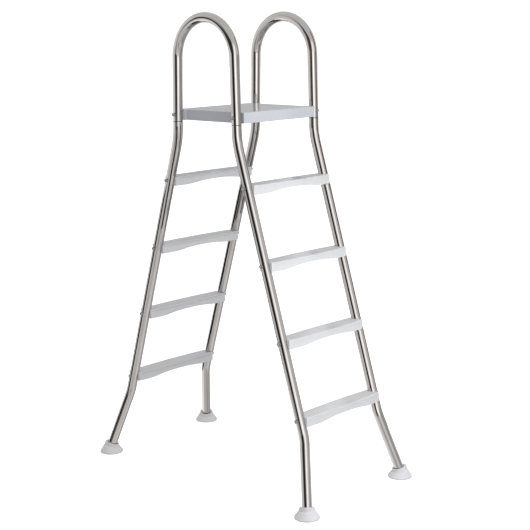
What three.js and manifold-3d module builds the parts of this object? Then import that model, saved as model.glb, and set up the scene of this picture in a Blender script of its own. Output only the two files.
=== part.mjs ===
// Above-ground pool ladder: two stainless steel handrail hoops, four splayed leg tubes,
// a moulded platform, four moulded treads on each flight, rubber feet and their fasteners.
// Millimetres, +Z up. The origin is on the floor, midway between the four feet.
// The front flight is on the +X side. Seen by a person climbing it, left is -Y and right is +Y.

import * as THREE from 'three';
import { mergeVertices } from 'three/addons/utils/BufferGeometryUtils.js';
import Module from 'manifold-3d';

const wasm = await Module();
wasm.setup();

// ---------------------------------------------------------------- driving dimensions

const GAP = 0.3; // clearance between pieces that touch

const TUBE_RADIUS = 19;
const TUBE_WALL = 1.4;
const TUBE_SIDES = 16;
const BORE_SIDES = 12;
const TRACK_HALF = 218.5; // from the middle of the ladder to a tube's centre line

const RAIL_TOP = 1801; // centre line at the top of a handrail
const RAIL_BEND = 151; // centre-line radius of a handrail's two bends
const RAIL_TAPER = 0.024; // sideways run of a handrail's straights, per unit of drop
const SEAM = 1410; // where the handrail meets the leg tube

const SPIGOT_LENGTH = 60; // reduced end of the leg tube inside the handrail
const SPIGOT_STEP = 2.3; // how much smaller its radius is
const KNEE = 1346; // bend where the leg starts to splay
const KNEE_BEND = 300;
const LEG_SPLAY = 0.3; // sideways run per unit of drop
const ANKLE = 268; // bend where the leg also turns outward
const ANKLE_BEND = 200;
const SHIN_SPLAY = 0.272;
const SHIN_FLARE = 0.261;
const LEG_END = 16; // height of the leg tube's lower end

const PLATFORM_TOP = 1455;
const PLATFORM_THICKNESS = 40.5;
const PLATFORM_HALF_DEPTH = 177.5;
const PLATFORM_HALF_WIDTH = 200;
const PLATFORM_WALL = 4;
const PLATFORM_BAYS = [3, 3]; // hollow bays under the platform, along X and along Y
const LUG_START = 125.5; // each corner lug stands beside a tube
const LUG_END = 156;
const LUG_PROUD = 12;

const TREAD_COUNT = 4;
const FIRST_TREAD = 352; // height of the lowest tread's top
const TREAD_RISE = 280;
const TREAD_HALF_WIDTH = 216;
const TREAD_OUTER = 35; // from the tube's centre line to the tread's front edge
const TREAD_INNER = 24; // and to its back edge
const TREAD_BULGE = 8;
const TREAD_DEPTH = 36; // height of the tread's skirt at its ends
const ARCH_RISE = 10.5; // how much shallower the skirt is in the middle
const ARCH_HALF = 160;
const ARCH_STEPS = 5;
const ARCH_SHOULDERS = [0.72, 0.62]; // how far along the arch its two curve handles stand
const ARCH_OVERCUT = 1; // how far the arch's cutting shape runs below the skirt
const BOW_STEPS = 6;
const TREAD_WALL = 3.5;
const TREAD_CAVITY_HALF = 183;
const TREAD_RIBS = 3;
const RIB = 3;

const BOLT_RADIUS = 4;
const BOLT_SIDES = 6;
const HOLE_RADIUS = 4.5;
const TREAD_BOLT_DROP = 14; // below the tread's top
const PLATFORM_BOLT_DROP = 19; // below the platform's top
const HEAD_RADIUS = 7.5; // across the corners of the hexagon, halved
const HEAD_HEIGHT = 5.3;
const HEAD_SEAT = TREAD_CAVITY_HALF - GAP; // how far the bolt head's seat is from the middle
const NUT_SEAT = TRACK_HALF + TUBE_RADIUS + GAP;
const NUT_HEX = 5; // height of the hexagon above the seat
const NUT_DOME_RADIUS = 6;
const NUT_HEIGHT = 12;
const NUT_BORE_DEPTH = 7.5;
const DOME_SIDES = 8;
const DOME_STEPS = 3;
const HEX_SIDES = 6;

const FOOT_SIDES = 20;
const FOOT_RADIUS = 48;
const FOOT_RIM = 5;
const SOLE_CHAMFER = 2;
const WAIST_RADIUS = 33; // where the bell meets the collar
const WAIST_HEIGHT = 26;
const COLLAR_RADIUS = 28.5;
const COLLAR_HEIGHT = 40;
const COLLAR_CHAMFER = 1.5;
const COLLAR_SLOPE = 0.3; // the collar's rim tilts to face along the leg
const COLLAR_SHIFT = 4; // and its middle stands this far towards the ladder
const RECESS_RADIUS = 22; // shallow recess around the tube in the collar's top
const RECESS_DEPTH = 4;
const FOOT_AXIS_CROSSING = 25; // height where the leg's centre line crosses the foot's

// ---------------------------------------------------------------- materials

function material(color, metalness, roughness) {
  return new THREE.MeshStandardMaterial({ color, metalness, roughness });
}

const polishedSteel = material(0xc8c4c0, 1, 0.12);
const fastenerSteel = material(0xa9a8a6, 1, 0.3);
const treadPlastic = material(0xdcdde2, 0, 0.35);
const platformPlastic = material(0xd2d4d9, 0, 0.18);
const footRubber = material(0xe3e3e6, 0, 0.5);

// ---------------------------------------------------------------- helpers

function solid(geometry) {
  const bare = geometry.clone();
  bare.deleteAttribute('normal');
  bare.deleteAttribute('uv');
  const merged = mergeVertices(bare, 1e-4);
  return new wasm.Manifold(new wasm.Mesh({
    numProp: 3,
    vertProperties: new Float32Array(merged.attributes.position.array),
    triVerts: new Uint32Array(merged.index.array),
  }));
}

function geometryOf(body) {
  const mesh = body.getMesh();
  const geometry = new THREE.BufferGeometry();
  const positions = new Float32Array(mesh.numVert * 3);
  for (let i = 0; i < mesh.numVert; i += 1) {
    for (let k = 0; k < 3; k += 1) {
      positions[3 * i + k] = mesh.vertProperties[mesh.numProp * i + k];
    }
  }
  geometry.setAttribute('position', new THREE.BufferAttribute(positions, 3));
  geometry.setIndex(new THREE.BufferAttribute(new Uint32Array(mesh.triVerts), 1));
  geometry.computeVertexNormals();
  return geometry;
}

function box(x0, x1, y0, y1, z0, z1) {
  const geometry = new THREE.BoxGeometry(x1 - x0, y1 - y0, z1 - z0);
  geometry.translate((x0 + x1) / 2, (y0 + y1) / 2, (z0 + z1) / 2);
  return solid(geometry);
}

// A cylinder whose flats are `radius` from its axis, from `start` along `direction`.
function rod(start, direction, length, radius, sides) {
  const cornerRadius = radius / Math.cos(Math.PI / sides);
  const geometry = new THREE.CylinderGeometry(cornerRadius, cornerRadius, length, sides);
  geometry.translate(0, length / 2, 0);
  const turn = new THREE.Quaternion();
  turn.setFromUnitVectors(new THREE.Vector3(0, 1, 0), direction.clone().normalize());
  geometry.applyQuaternion(turn);
  geometry.translate(start.x, start.y, start.z);
  return solid(geometry);
}

// An outline drawn in Y and Z, extruded from -halfLength to halfLength along X.
function extrudeAlongX(shape, halfLength, curveSegments) {
  const options = { depth: 2 * halfLength, bevelEnabled: false, curveSegments };
  const geometry = new THREE.ExtrudeGeometry(shape, options);
  geometry.translate(0, 0, -halfLength);
  const toX = new THREE.Matrix4().makeBasis(
    new THREE.Vector3(0, 1, 0),
    new THREE.Vector3(0, 0, 1),
    new THREE.Vector3(1, 0, 0),
  );
  geometry.applyMatrix4(toX);
  return solid(geometry);
}

// ---------------------------------------------------------------- tubes

// A path through chosen stations, each a point and a direction.
class StationPath extends THREE.Curve {
  constructor(stations) {
    super();
    this.stations = stations;
  }

  station(u) {
    return this.stations[Math.round(u * (this.stations.length - 1))];
  }

  getPointAt(u, target = new THREE.Vector3()) {
    return target.copy(this.station(u).point);
  }

  getTangentAt(u, target = new THREE.Vector3()) {
    return target.copy(this.station(u).tangent);
  }
}

// Stations along straight runs joined by circular bends. Each corner is a point with the
// radius of its bend and the number of steps in it; a corner with no radius is a plain stop.
function bentStations(corners) {
  const stations = [];
  const add = (point, tangent) => {
    const last = stations[stations.length - 1];
    if (!last || last.point.distanceTo(point) > 0.05) {
      stations.push({ point, tangent });
    }
  };
  for (let i = 0; i < corners.length; i += 1) {
    const here = corners[i].point;
    const before = corners[Math.max(i - 1, 0)].point;
    const after = corners[Math.min(i + 1, corners.length - 1)].point;
    const into = here.clone().sub(before).normalize();
    const out = after.clone().sub(here).normalize();
    if (!corners[i].radius) {
      add(here, i === 0 ? out : into);
      continue;
    }
    const turn = into.angleTo(out);
    const reach = corners[i].radius * Math.tan(turn / 2);
    const start = here.clone().addScaledVector(into, -reach);
    const inward = out.clone().addScaledVector(into, -out.dot(into)).normalize();
    const centre = start.clone().addScaledVector(inward, corners[i].radius);
    for (let step = 0; step <= corners[i].steps; step += 1) {
      const angle = turn * step / corners[i].steps;
      const point = centre.clone()
        .addScaledVector(inward, -corners[i].radius * Math.cos(angle))
        .addScaledVector(into, corners[i].radius * Math.sin(angle));
      const tangent = into.clone().multiplyScalar(Math.cos(angle))
        .addScaledVector(inward, Math.sin(angle));
      add(point, tangent.normalize());
    }
  }
  return stations;
}

function circlePoints(radius, sides) {
  const points = [];
  for (let i = 0; i < sides; i += 1) {
    const angle = 2 * Math.PI * i / sides;
    points.push(new THREE.Vector2(radius * Math.cos(angle), radius * Math.sin(angle)));
  }
  return points;
}

function tubeGeometry(stations) {
  const ring = new THREE.Shape(circlePoints(TUBE_RADIUS, TUBE_SIDES));
  const bore = circlePoints(TUBE_RADIUS - TUBE_WALL, BORE_SIDES).reverse();
  ring.holes.push(new THREE.Path(bore));
  return new THREE.ExtrudeGeometry(ring, {
    steps: stations.length - 1,
    extrudePath: new StationPath(stations),
  });
}

// Distance from the middle of the ladder to a handrail's or leg's centre line.
const railCornerX = RAIL_BEND * Math.tan((Math.PI / 2 - Math.atan(RAIL_TAPER)) / 2);

function railX(height) {
  return railCornerX + RAIL_TAPER * (RAIL_TOP - height);
}

function legX(height) {
  return railX(KNEE) + LEG_SPLAY * (KNEE - height);
}

function shinX(height) {
  return legX(ANKLE) + SHIN_SPLAY * (ANKLE - height);
}

function shinY(height) {
  return TRACK_HALF + SHIN_FLARE * (ANKLE - height);
}

function crossHole(x, y, z) {
  const reach = 2 * TUBE_RADIUS;
  const start = new THREE.Vector3(x, y - reach, z);
  return rod(start, new THREE.Vector3(0, 1, 0), 2 * reach, HOLE_RADIUS, BOLT_SIDES);
}

const platformBoltHeight = PLATFORM_TOP - PLATFORM_BOLT_DROP;

function treadTop(index) {
  return FIRST_TREAD + TREAD_RISE * index;
}

function handrailGeometry(side) {
  const y = side * TRACK_HALF;
  const end = SEAM + GAP / 2;
  const bend = { radius: RAIL_BEND, steps: 8 };
  const stations = bentStations([
    { point: new THREE.Vector3(-railX(end), y, end) },
    { point: new THREE.Vector3(-railCornerX, y, RAIL_TOP), ...bend },
    { point: new THREE.Vector3(railCornerX, y, RAIL_TOP), ...bend },
    { point: new THREE.Vector3(railX(end), y, end) },
  ]);
  let body = solid(tubeGeometry(stations));
  for (const flight of [-1, 1]) {
    body = body.subtract(crossHole(flight * railX(platformBoltHeight), y, platformBoltHeight));
  }
  return geometryOf(body);
}

// The reduced end of the leg tube: every point above the seam moves towards the centre line.
function reduceSpigot(geometry, base, axis) {
  const position = geometry.attributes.position;
  const point = new THREE.Vector3();
  for (let i = 0; i < position.count; i += 1) {
    point.fromBufferAttribute(position, i).sub(base);
    const along = point.dot(axis);
    if (along > GAP / 4) {
      const radial = point.clone().addScaledVector(axis, -along);
      point.addScaledVector(radial.normalize(), -SPIGOT_STEP).add(base);
      position.setXYZ(i, point.x, point.y, point.z);
    }
  }
}

function legGeometry(flight, side) {
  const y = side * TRACK_HALF;
  const shoulder = SEAM - GAP / 2;
  const spigotBase = SEAM;
  const spigotTop = SEAM + SPIGOT_LENGTH;
  const at = (height) => new THREE.Vector3(flight * railX(height), y, height);
  const stations = bentStations([
    { point: at(spigotTop) },
    { point: at(spigotBase) },
    { point: at(shoulder) },
    { point: at(KNEE), radius: KNEE_BEND, steps: 3 },
    { point: new THREE.Vector3(flight * legX(ANKLE), y, ANKLE), radius: ANKLE_BEND, steps: 3 },
    { point: new THREE.Vector3(flight * shinX(LEG_END), side * shinY(LEG_END), LEG_END) },
  ]);
  const tube = tubeGeometry(stations);
  reduceSpigot(tube, at(shoulder), at(spigotTop).sub(at(shoulder)).normalize());
  let body = solid(tube);
  body = body.subtract(crossHole(flight * railX(platformBoltHeight), y, platformBoltHeight));
  for (let i = 0; i < TREAD_COUNT; i += 1) {
    const height = treadTop(i) - TREAD_BOLT_DROP;
    body = body.subtract(crossHole(flight * legX(height), y, height));
  }
  return geometryOf(body);
}

// ---------------------------------------------------------------- treads

// Plan of a tread, front edge towards +X, both long edges bowed outward.
function treadPlan(inset, halfWidth) {
  const front = TREAD_OUTER - inset;
  const back = -TREAD_INNER + inset;
  const shape = new THREE.Shape();
  shape.moveTo(back, -halfWidth);
  shape.lineTo(front, -halfWidth);
  shape.quadraticCurveTo(front + 2 * TREAD_BULGE, 0, front, halfWidth);
  shape.lineTo(back, halfWidth);
  shape.quadraticCurveTo(back - 2 * TREAD_BULGE, 0, back, -halfWidth);
  return shape;
}

function treadSlab(inset, halfWidth, bottom, top) {
  const options = { depth: top - bottom, bevelEnabled: false, curveSegments: BOW_STEPS };
  const geometry = new THREE.ExtrudeGeometry(treadPlan(inset, halfWidth), options);
  geometry.translate(0, 0, bottom);
  return solid(geometry);
}

// The skirt's lower edge rises in a flat S from each end to the middle.
function treadArch() {
  const foot = -TREAD_DEPTH;
  const crown = foot + ARCH_RISE;
  const [outer, inner] = ARCH_SHOULDERS.map((share) => share * ARCH_HALF);
  const shape = new THREE.Shape();
  shape.moveTo(-ARCH_HALF, foot - ARCH_OVERCUT);
  shape.lineTo(ARCH_HALF, foot - ARCH_OVERCUT);
  shape.lineTo(ARCH_HALF, foot);
  shape.bezierCurveTo(outer, foot, inner, crown, 0, crown);
  shape.bezierCurveTo(-inner, crown, -outer, foot, -ARCH_HALF, foot);
  return extrudeAlongX(shape, 2 * TREAD_OUTER, ARCH_STEPS);
}

// Origin on the tread's top, where the legs' centre lines cross that height.
function treadGeometry() {
  const below = -TREAD_DEPTH - 10;
  let cavity = treadSlab(TREAD_WALL, TREAD_CAVITY_HALF, below, -TREAD_WALL);
  const bay = 2 * TREAD_CAVITY_HALF / (TREAD_RIBS + 1);
  for (let i = 1; i <= TREAD_RIBS; i += 1) {
    const y = -TREAD_CAVITY_HALF + i * bay;
    const reach = 2 * TREAD_OUTER;
    cavity = cavity.subtract(box(-reach, reach, y - RIB / 2, y + RIB / 2, 2 * below, 0));
  }
  let body = treadSlab(0, TREAD_HALF_WIDTH, -TREAD_DEPTH, 0)
    .subtract(treadArch())
    .subtract(cavity);
  const alongLeg = new THREE.Vector3(-LEG_SPLAY, 0, 1);
  const boltX = LEG_SPLAY * TREAD_BOLT_DROP;
  for (const side of [-1, 1]) {
    const low = new THREE.Vector3(0, side * TRACK_HALF, 0);
    low.addScaledVector(alongLeg, -2 * TREAD_DEPTH);
    body = body.subtract(rod(low, alongLeg, 4 * TREAD_DEPTH, TUBE_RADIUS + GAP, TUBE_SIDES));
    body = body.subtract(crossHole(boltX, side * TRACK_HALF, -TREAD_BOLT_DROP));
  }
  return geometryOf(body);
}

// ---------------------------------------------------------------- platform

function platformGeometry() {
  const bottom = PLATFORM_TOP - PLATFORM_THICKNESS;
  const [baysX, baysY] = PLATFORM_BAYS;
  const depth = PLATFORM_HALF_DEPTH;
  const width = PLATFORM_HALF_WIDTH;
  let body = box(-depth, depth, -width, width, bottom, PLATFORM_TOP);
  for (const flight of [-1, 1]) {
    for (const side of [-1, 1]) {
      const xs = [flight * LUG_START, flight * LUG_END].sort((a, b) => a - b);
      const ys = [side * (width - 1), side * (width + LUG_PROUD)].sort((a, b) => a - b);
      body = body.add(box(xs[0], xs[1], ys[0], ys[1], bottom, PLATFORM_TOP));
    }
  }
  const cavityDepth = depth - PLATFORM_WALL;
  const cavityWidth = HEAD_SEAT + GAP;
  const bayX = (2 * cavityDepth + RIB) / baysX;
  const bayY = (2 * cavityWidth + RIB) / baysY;
  const ceiling = PLATFORM_TOP - PLATFORM_WALL;
  for (let i = 0; i < baysX; i += 1) {
    for (let j = 0; j < baysY; j += 1) {
      const x = -cavityDepth + i * bayX;
      const y = -cavityWidth + j * bayY;
      body = body.subtract(box(x, x + bayX - RIB, y, y + bayY - RIB, bottom - 1, ceiling));
    }
  }
  for (const flight of [-1, 1]) {
    for (const side of [-1, 1]) {
      const y = side * TRACK_HALF;
      const low = bottom - TUBE_RADIUS;
      const start = new THREE.Vector3(flight * railX(low), y, low);
      const alongRail = new THREE.Vector3(-flight * RAIL_TAPER, 0, 1);
      const length = PLATFORM_THICKNESS + 2 * TUBE_RADIUS;
      body = body.subtract(rod(start, alongRail, length, TUBE_RADIUS + GAP, TUBE_SIDES));
      body = body.subtract(crossHole(flight * railX(platformBoltHeight), y, platformBoltHeight));
    }
  }
  return geometryOf(body);
}

// ---------------------------------------------------------------- feet

// A bell with a flat round sole, built about its own upright axis, sole at zero height.
function bellGeometry() {
  const profile = [
    [0, 0],
    [FOOT_RADIUS - SOLE_CHAMFER, 0],
    [FOOT_RADIUS, SOLE_CHAMFER],
    [FOOT_RADIUS, FOOT_RIM],
    [WAIST_RADIUS, WAIST_HEIGHT],
    [COLLAR_RADIUS, COLLAR_HEIGHT - COLLAR_CHAMFER],
    [COLLAR_RADIUS - COLLAR_CHAMFER, COLLAR_HEIGHT],
    [0, COLLAR_HEIGHT],
  ];
  const points = profile.map(([radius, height]) => new THREE.Vector2(radius, height));
  const bell = new THREE.LatheGeometry(points, FOOT_SIDES);
  return bell.rotateX(Math.PI / 2);
}

// Leans the bell's upper part towards the leg, more with height, and leaves the rim level.
function leanBell(geometry, flight, side) {
  const toLadder = new THREE.Vector3(-flight * SHIN_SPLAY, -side * SHIN_FLARE, 0).normalize();
  const position = geometry.attributes.position;
  const point = new THREE.Vector3();
  for (let i = 0; i < position.count; i += 1) {
    point.fromBufferAttribute(position, i);
    const rise = (point.z - FOOT_RIM) / (COLLAR_HEIGHT - FOOT_RIM);
    const share = Math.max(rise, 0);
    const drop = share * COLLAR_SLOPE * point.dot(toLadder);
    point.addScaledVector(toLadder, share * COLLAR_SHIFT);
    position.setXYZ(i, point.x, point.y, point.z - drop);
  }
}

function footGeometry(flight, side) {
  const bell = bellGeometry();
  leanBell(bell, flight, side);
  const alongLeg = new THREE.Vector3(-flight * SHIN_SPLAY, -side * SHIN_FLARE, 1);
  const onLeg = (height) => {
    const point = new THREE.Vector3(0, 0, FOOT_AXIS_CROSSING);
    return point.addScaledVector(alongLeg, height - FOOT_AXIS_CROSSING);
  };
  const socketEnd = onLeg(LEG_END - GAP);
  const socket = rod(socketEnd, alongLeg, 2 * COLLAR_HEIGHT, TUBE_RADIUS + GAP, TUBE_SIDES);
  const recessEnd = onLeg(COLLAR_HEIGHT - RECESS_DEPTH);
  const recess = rod(recessEnd, alongLeg, COLLAR_HEIGHT, RECESS_RADIUS, TUBE_SIDES);
  return geometryOf(solid(bell).subtract(socket).subtract(recess));
}

// ---------------------------------------------------------------- fasteners

// Both run along +Y, with the origin at the middle of the ladder.
const alongY = new THREE.Vector3(0, 1, 0);
const hexFlat = HEAD_RADIUS * Math.cos(Math.PI / HEX_SIDES);
const shankFlat = BOLT_RADIUS * Math.cos(Math.PI / BOLT_SIDES);
const FASTENER_OVERLAP = 1; // how far two joined shapes of one fastener run into each other

function boltGeometry() {
  const tip = NUT_SEAT + NUT_BORE_DEPTH - FASTENER_OVERLAP;
  const headStart = new THREE.Vector3(0, HEAD_SEAT - HEAD_HEIGHT, 0);
  const head = rod(headStart, alongY, HEAD_HEIGHT, hexFlat, HEX_SIDES);
  const shankStart = new THREE.Vector3(0, HEAD_SEAT - FASTENER_OVERLAP, 0);
  const shank = rod(shankStart, alongY, tip - shankStart.y, shankFlat, BOLT_SIDES);
  return geometryOf(head.add(shank));
}

function capNutGeometry() {
  const shoulder = NUT_HEIGHT - NUT_DOME_RADIUS;
  const base = NUT_HEX - FASTENER_OVERLAP;
  const profile = [new THREE.Vector2(0, base), new THREE.Vector2(NUT_DOME_RADIUS, base)];
  for (let i = 0; i <= DOME_STEPS; i += 1) {
    const angle = Math.PI / 2 * i / DOME_STEPS;
    const radius = i === DOME_STEPS ? 0 : NUT_DOME_RADIUS * Math.cos(angle);
    const height = shoulder + NUT_DOME_RADIUS * Math.sin(angle);
    profile.push(new THREE.Vector2(radius, height));
  }
  const dome = solid(new THREE.LatheGeometry(profile, DOME_SIDES));
  const hex = rod(new THREE.Vector3(0, 0, 0), alongY, NUT_HEX, hexFlat, HEX_SIDES);
  const boreStart = new THREE.Vector3(0, -FASTENER_OVERLAP, 0);
  const boreLength = NUT_BORE_DEPTH + FASTENER_OVERLAP;
  const bore = rod(boreStart, alongY, boreLength, BOLT_RADIUS + GAP, BOLT_SIDES);
  const nut = geometryOf(dome.add(hex).subtract(bore));
  nut.translate(0, NUT_SEAT, 0);
  return nut;
}

// ---------------------------------------------------------------- assembly

const group = new THREE.Group();
const flights = [['front', 1], ['back', -1]];
const sides = [['left', -1], ['right', 1]];

function place(name, geometry, look, x = 0, y = 0, z = 0, turn = 0) {
  const mesh = new THREE.Mesh(geometry, look.clone());
  mesh.name = name;
  mesh.position.set(x, y, z);
  mesh.rotation.z = turn;
  group.add(mesh);
}

for (const [sideName, side] of sides) {
  place(`handrail_${sideName}`, handrailGeometry(side), polishedSteel);
}

place('platform', platformGeometry(), platformPlastic);

const tread = treadGeometry();
const bolt = boltGeometry();
const capNut = capNutGeometry();

// The bolt at one end of a tread or at one corner of the platform, with its cap nut.
function placeFastener(name, sideName, side, x, z) {
  const turn = side > 0 ? 0 : Math.PI;
  place(`bolt_${name}_${sideName}`, bolt, fastenerSteel, x, 0, z, turn);
  place(`cap_nut_${name}_${sideName}`, capNut, fastenerSteel, x, 0, z, turn);
}

for (const [flightName, flight] of flights) {
  const turn = flight > 0 ? 0 : Math.PI;
  for (let i = 0; i < TREAD_COUNT; i += 1) {
    const top = treadTop(i);
    place(`tread_${flightName}_${i + 1}`, tread, treadPlastic, flight * legX(top), 0, top, turn);
  }
  for (const [sideName, side] of sides) {
    place(`leg_${flightName}_${sideName}`, legGeometry(flight, side), polishedSteel);
    const footX = flight * shinX(FOOT_AXIS_CROSSING);
    const footY = side * shinY(FOOT_AXIS_CROSSING);
    const foot = footGeometry(flight, side);
    place(`foot_${flightName}_${sideName}`, foot, footRubber, footX, footY);
    const railBoltX = flight * railX(platformBoltHeight);
    placeFastener(`platform_${flightName}`, sideName, side, railBoltX, platformBoltHeight);
    for (let i = 0; i < TREAD_COUNT; i += 1) {
      const height = treadTop(i) - TREAD_BOLT_DROP;
      placeFastener(`tread_${flightName}_${i + 1}`, sideName, side, flight * legX(height), height);
    }
  }
}

export default group;
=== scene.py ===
"""A pool ladder in polished stainless tube and pale plastic, on a white studio floor.

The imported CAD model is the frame. Every tube, tread, foot and fastener is rebuilt here as a
finer mesh of the same size, and stands for its CAD node. Metres, +Z up. The front flight is on
the +X side; left is -Y and right is +Y.
"""

import math

import bmesh
import bpy
from mathutils import Matrix, Vector


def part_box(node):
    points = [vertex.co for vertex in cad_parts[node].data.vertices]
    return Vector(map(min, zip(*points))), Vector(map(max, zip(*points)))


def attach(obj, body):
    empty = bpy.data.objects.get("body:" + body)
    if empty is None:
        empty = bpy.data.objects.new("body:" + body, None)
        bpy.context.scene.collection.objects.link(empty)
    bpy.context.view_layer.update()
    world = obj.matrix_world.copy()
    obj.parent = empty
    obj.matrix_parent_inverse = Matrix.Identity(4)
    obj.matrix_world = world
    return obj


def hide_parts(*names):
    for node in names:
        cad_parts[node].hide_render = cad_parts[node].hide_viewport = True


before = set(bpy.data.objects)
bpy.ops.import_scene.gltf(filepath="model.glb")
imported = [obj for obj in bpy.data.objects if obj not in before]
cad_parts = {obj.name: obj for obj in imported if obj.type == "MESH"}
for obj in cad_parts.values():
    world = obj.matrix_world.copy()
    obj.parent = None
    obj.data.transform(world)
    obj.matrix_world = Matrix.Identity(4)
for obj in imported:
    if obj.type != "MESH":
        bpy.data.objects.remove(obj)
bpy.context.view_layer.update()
MM = 0.001

FLIGHTS = (("front", 1), ("back", -1))
SIDES = (("left", -1), ("right", 1))
TREAD_COUNT = 4

# ---------------------------------------------------------------- sizes

TUBE_RADIUS = 19 * MM
TUBE_WALL = 1.4 * MM
TUBE_SIDES = 64
SOCKET_SIDES = 96
HOLE_SIDES = 32
SEAM_GAP = 0.3 * MM
SEAM_CHAMFER = 0.8 * MM
SEAM_RING = 0.9 * MM
SEAM_RING_FADE = 0.4 * MM
CLEARANCE = 0.3 * MM

RAIL_BEND = 151 * MM
RAIL_BEND_STEPS = 40
RAIL_TAPER = 0.024
SPIGOT_LENGTH = 60 * MM
SPIGOT_STEP = 2.3 * MM
KNEE = 1346 * MM
KNEE_BEND = 300 * MM
LEG_SPLAY = 0.3
ANKLE = 268 * MM
ANKLE_BEND = 200 * MM
SHIN_SPLAY = 0.272
SHIN_FLARE = 0.261
LEG_END = 16 * MM
LEG_BEND_STEPS = 16

TREAD_WALL = 3.5 * MM
TREAD_OUTER = 35 * MM
TREAD_INNER = 24 * MM
TREAD_BULGE = 8 * MM
TREAD_EDGE = 3 * MM
TREAD_EDGE_STEPS = 6
TREAD_STATIONS = 48
GROOVE_TOP = 5 * MM
GROOVE_FOOT = 9 * MM
GROOVE_DEPTH = 2.5 * MM
TREAD_BAYS = 4
BAY_STATIONS = 8
ARCH_RISE = 10.5 * MM
ARCH_HALF = 160 * MM
ARCH_SHOULDERS = (0.72, 0.62)
CAVITY_HALF = 183 * MM
RIB = 3 * MM

PLATFORM_WALL = 4 * MM
PLATFORM_BAYS = 3
PLATFORM_EDGE = 2 * MM
PLATFORM_EDGE_STEPS = 4
LUG_START = 125.5 * MM
LUG_END = 156 * MM
LUG_PROUD = 12 * MM

BOLT_RADIUS = 4 * MM
BOLT_TIP_ROUNDING = 0.8 * MM
BOLT_HOLE = 4.5 * MM
TREAD_BOLT_DROP = 14 * MM
PLATFORM_BOLT_DROP = 19 * MM
HEX_RADIUS = 7.5 * MM
HEX_CHAMFER = 0.9 * MM
HEX_CHAMFER_SIDES = 64
HEAD_HEIGHT = 5.3 * MM
HEAD_SEAT = 182.7 * MM
NUT_SEAT = 237.8 * MM
NUT_HEX = 5 * MM
NUT_HEIGHT = 12 * MM
NUT_DOME_RADIUS = 6 * MM
NUT_DOME_ROUNDING = 0.97 * NUT_DOME_RADIUS
NUT_DOME_SIDES = 48
NUT_BORE_DEPTH = 7.5 * MM

FOOT_SIDES = 96
FOOT_RIM = 5 * MM
RIM_ROUNDING = 1.5 * MM
WAIST_RADIUS = 33 * MM
WAIST_HEIGHT = 26 * MM
COLLAR_RADIUS = 28.5 * MM
COLLAR_HEIGHT = 40 * MM
COLLAR_ROUNDING = 1.8 * MM
COLLAR_SLOPE = 0.3
COLLAR_SHIFT = 4 * MM
LEDGE = 1.6 * MM
LEDGE_ROUNDING = 0.6 * MM
LEDGE_FILLET = 0.4 * MM
RECESS_RADIUS = 22 * MM
RECESS_DEPTH = 4 * MM
FOOT_AXIS_CROSSING = 25 * MM

rail_low, rail_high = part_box("handrail_right")
platform_low, platform_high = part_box("platform")
tread_low, tread_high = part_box("tread_front_1")
foot_low, foot_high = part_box("foot_front_right")

TRACK_HALF = (rail_low.y + rail_high.y) / 2
RAIL_TOP = rail_high.z - TUBE_RADIUS
SEAM = rail_low.z - SEAM_GAP / 2
TREAD_DEPTH = tread_high.z - tread_low.z
TREAD_HALF_WIDTH = tread_high.y
PLATFORM_TOP = platform_high.z
PLATFORM_BOTTOM = platform_low.z
PLATFORM_HALF_DEPTH = platform_high.x
PLATFORM_HALF_WIDTH = platform_high.y - LUG_PROUD
FOOT_RADIUS = (foot_high.y - foot_low.y) / 2


# ---------------------------------------------------------------- tube paths

RAIL_CORNER = RAIL_BEND * math.tan((math.pi / 2 - math.atan(RAIL_TAPER)) / 2)


def rail_x(z):
    """Distance of an upright's centre line from the middle of the ladder, at a height."""
    return RAIL_CORNER + RAIL_TAPER * (RAIL_TOP - z)


def leg_x(z):
    return rail_x(KNEE) + LEG_SPLAY * (KNEE - z)


def shin_x(z):
    return leg_x(ANKLE) + SHIN_SPLAY * (ANKLE - z)


def shin_y(z):
    return TRACK_HALF + SHIN_FLARE * (ANKLE - z)


SAME_POINT = 1e-5
WELD = 1e-6


def bent_line(corners):
    """Points along straight runs joined by circular bends.

    Each corner is (point, radius or 0, steps in the bend).
    """
    points = []
    for i, (here, radius, steps) in enumerate(corners):
        here = Vector(here)
        if not radius:
            points.append(here)
            continue
        into = (here - Vector(corners[i - 1][0])).normalized()
        out = (Vector(corners[i + 1][0]) - here).normalized()
        turn = into.angle(out)
        reach = radius * math.tan(turn / 2)
        start = here - into * reach
        inward = (out - into * out.dot(into)).normalized()
        centre = start + inward * radius
        for k in range(steps + 1):
            a = turn * k / steps
            points.append(
                centre - inward * radius * math.cos(a) + into * radius * math.sin(a)
            )
    kept = [p for before, p in zip(points, points[1:]) if (p - before).length > SAME_POINT]
    return points[:1] + kept


def frames_along(points, side):
    """A (tangent, sideways, upright) frame at each point, carried along without twist."""
    frames = []
    sideways = Vector(side)
    for i in range(len(points)):
        before = points[max(i - 1, 0)]
        after = points[min(i + 1, len(points) - 1)]
        tangent = (after - before).normalized()
        sideways = (sideways - tangent * sideways.dot(tangent)).normalized()
        frames.append((tangent, sideways, tangent.cross(sideways)))
    return frames


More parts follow.
